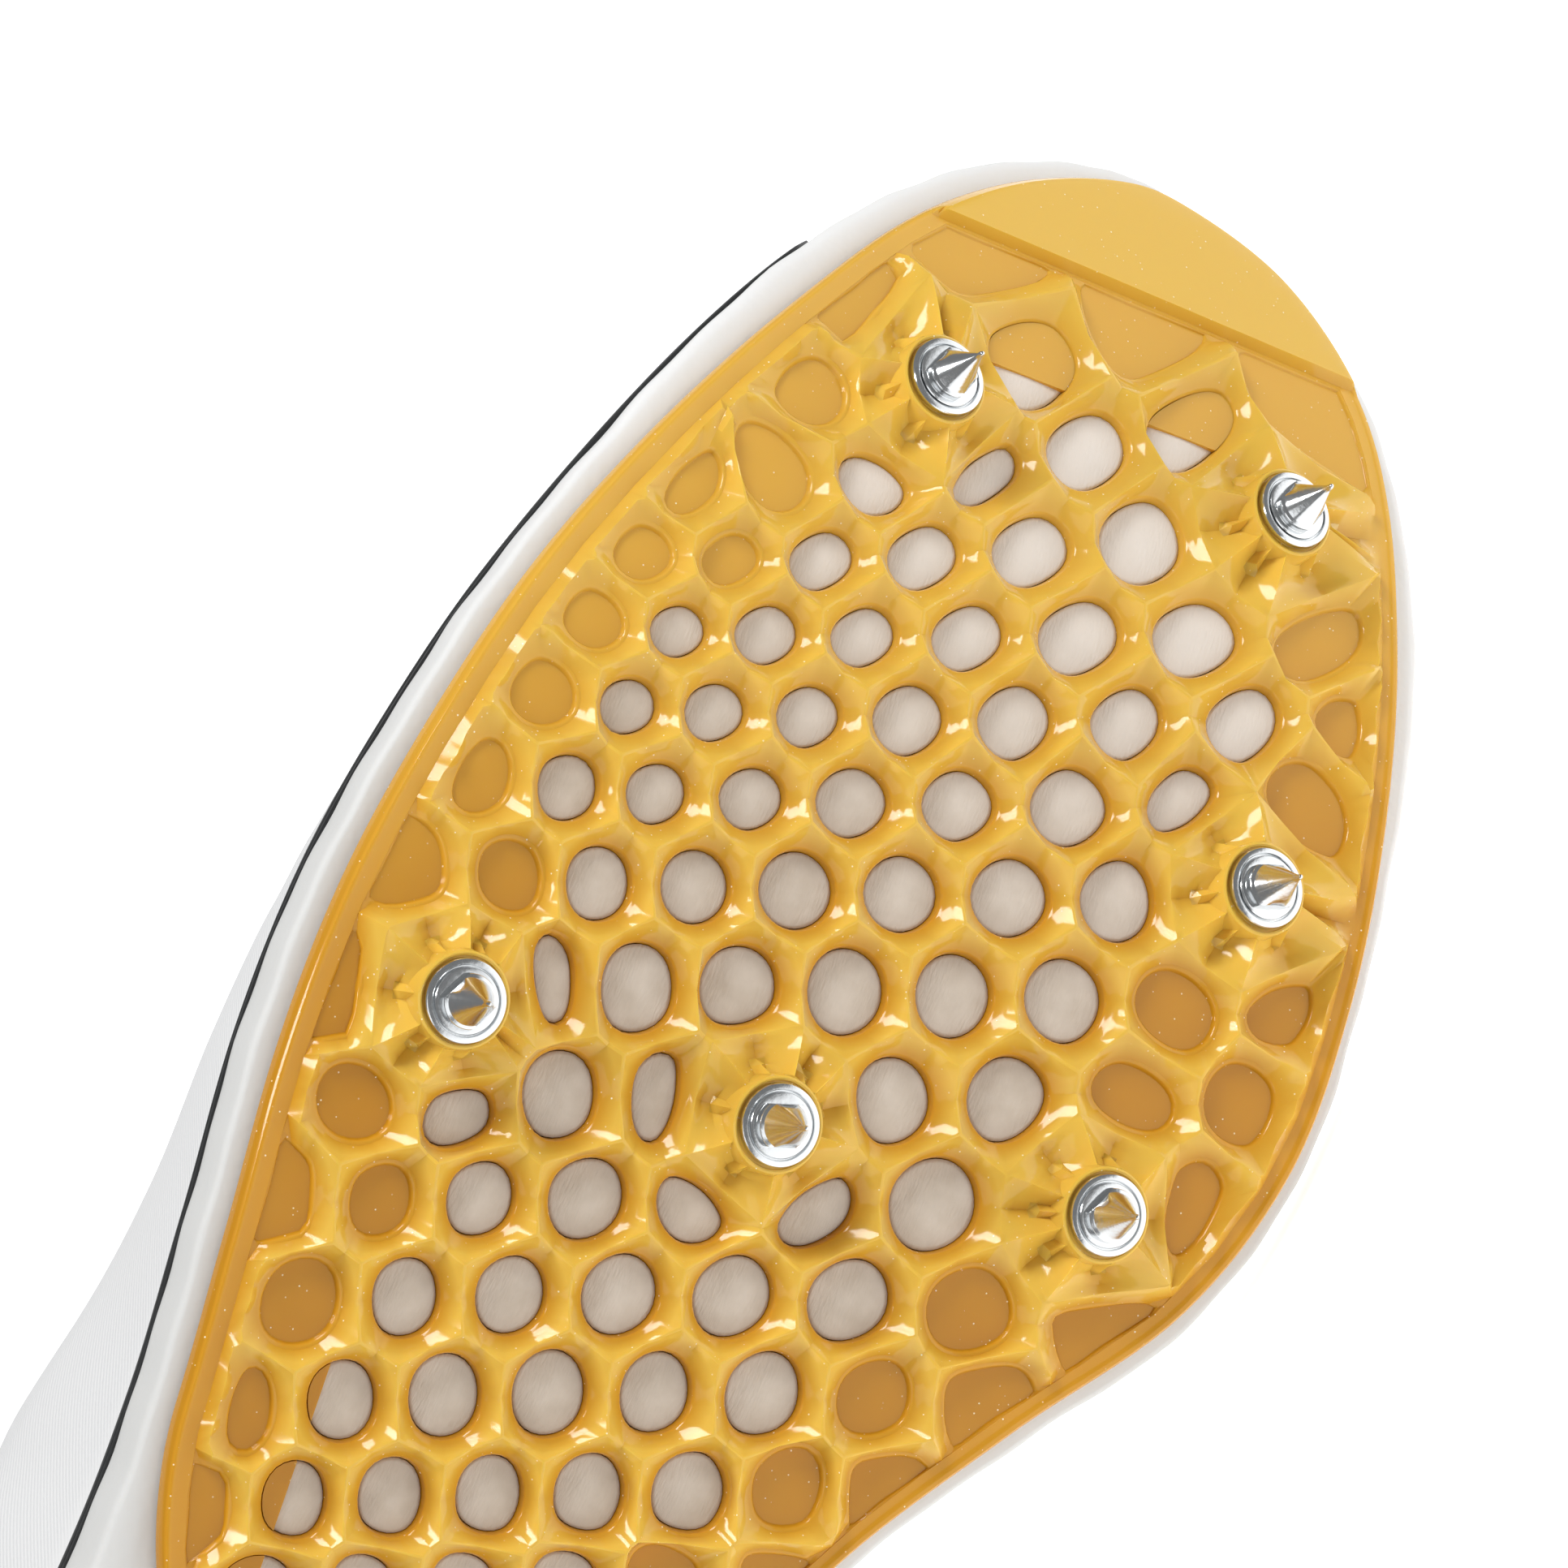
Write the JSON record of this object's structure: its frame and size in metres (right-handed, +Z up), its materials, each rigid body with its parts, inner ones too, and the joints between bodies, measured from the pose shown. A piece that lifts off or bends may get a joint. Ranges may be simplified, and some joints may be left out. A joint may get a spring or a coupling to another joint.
{
  "type": "track spike shoe",
  "caption": "Right track spike shoe lying on its inner side: honeycomb spike plate with screw-in spikes, foam midsole, hollow knit upper, tongue and crossed laces.",
  "frame": {"origin": "middle of the shoe's bounding box on the floor, with the shoe lying on its inner side", "axes": "+X to the toe, +Y to the shoe's upper side (the sole faces -Y), +Z up from the floor, to the shoe's outer side"},
  "size_m": [0.2872, 0.1012, 0.0984],
  "materials": {
    "plate": "glossy moulded, amber yellow",
    "spike": "bright zinc plate",
    "felt": "matt felt",
    "midsole": "soft satin foam",
    "upper": "ribbed mesh",
    "tongue": "padded mesh",
    "insole": "matt knit",
    "lace": "flat woven"
  },
  "bodies": {
    "root": {"spike_plate": "plate", "spike_1": "spike", "spike_2": "spike", "spike_3": "spike", "spike_4": "spike", "spike_5": "spike", "spike_6": "spike", "felt_board": "felt", "midsole": "midsole", "upper": "upper", "tongue": "tongue", "insole": "insole", "lace_crossings": "lace"}
  },
  "joints": []
}
